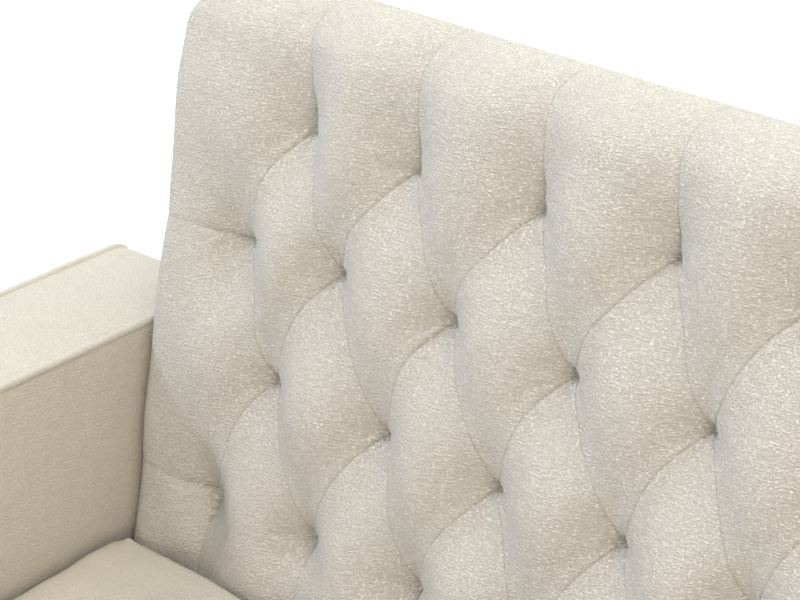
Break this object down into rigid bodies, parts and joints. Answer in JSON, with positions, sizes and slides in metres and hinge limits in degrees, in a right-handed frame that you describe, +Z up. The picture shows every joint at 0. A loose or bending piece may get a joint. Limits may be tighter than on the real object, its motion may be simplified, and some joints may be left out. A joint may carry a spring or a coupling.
{
  "type": "tufted sofa",
  "caption": "Upholstered sofa with a high diamond-tufted back between lower piped track arms, loose lift-off seat cushions and short tapered round legs.",
  "frame": {"origin": "on the floor, under the middle of the sofa's width and depth", "axes": "+X towards the sofa's right arm as seen from the front and along its length, +Y towards its back, +Z up; the front faces -Y"},
  "size_m": [1.854, 0.76, 0.8692],
  "materials": {
    "cream_fabric": "chunky cream weave",
    "leg_wood": "walnut stain, satin lacquer",
    "timber": "planed, unfinished",
    "board": "unfinished board",
    "foam": "open foam",
    "burlap": "coarse weave",
    "lining": "thin felt",
    "twine": "twisted",
    "anchor": "moulded",
    "glide": "smooth",
    "steel": "zinc plated"
  },
  "bodies": {
    "sofa": {"front_left_leg": "leg_wood", "front_right_leg": "leg_wood", "rear_left_leg": "leg_wood", "rear_right_leg": "leg_wood", "centre_leg": "leg_wood", "leg_plates": "steel", "leg_bolts": "steel", "leg_glides": "glide", "front_rail": "timber", "rear_rail": "timber", "left_side_rail": "timber", "right_side_rail": "timber", "seat_stretchers": "timber", "corner_blocks": "timber", "seat_springs": "steel", "spring_clips": "steel", "seat_burlap": "burlap", "deck_pad": "foam", "deck_cover": "cream_fabric", "front_border_pad": "foam", "front_border_cover": "cream_fabric", "dust_cover": "lining", "arm_bolts": "steel", "left_arm_front_post": "timber", "left_arm_rear_post": "timber", "left_arm_top_rail": "timber", "left_arm_bottom_rail": "timber", "left_arm_boards": "board", "left_arm_padding": "foam", "left_arm_side_covers": "cream_fabric", "left_arm_boxing": "cream_fabric", "left_arm_piping": "cream_fabric", "right_arm_front_post": "timber", "right_arm_rear_post": "timber", "right_arm_top_rail": "timber", "right_arm_bottom_rail": "timber", "right_arm_boards": "board", "right_arm_padding": "foam", "right_arm_side_covers": "cream_fabric", "right_arm_boxing": "cream_fabric", "right_arm_piping": "cream_fabric", "back_left_stile": "timber", "back_right_stile": "timber", "back_studs": "timber", "back_top_rail": "timber", "back_bottom_rail": "timber", "back_dowels": "timber", "back_bolts": "steel", "back_board": "board", "back_foam": "foam", "back_edge_band": "cream_fabric", "back_tufted_cover": "cream_fabric", "back_outside_cover": "cream_fabric", "tuft_twines": "twine", "tuft_anchors": "anchor"},
    "left_cushion": {"left_cushion_foam": "foam", "left_cushion_cover": "cream_fabric"},
    "right_cushion": {"right_cushion_foam": "foam", "right_cushion_cover": "cream_fabric"}
  },
  "joints": [
    {"name": "left_cushion_lift", "type": "slide", "parent": "sofa", "child": "left_cushion", "axis": [0, 0, 1], "range_m": [0, 0.35]},
    {"name": "right_cushion_lift", "type": "slide", "parent": "sofa", "child": "right_cushion", "axis": [0, 0, 1], "range_m": [0, 0.35]}
  ]
}
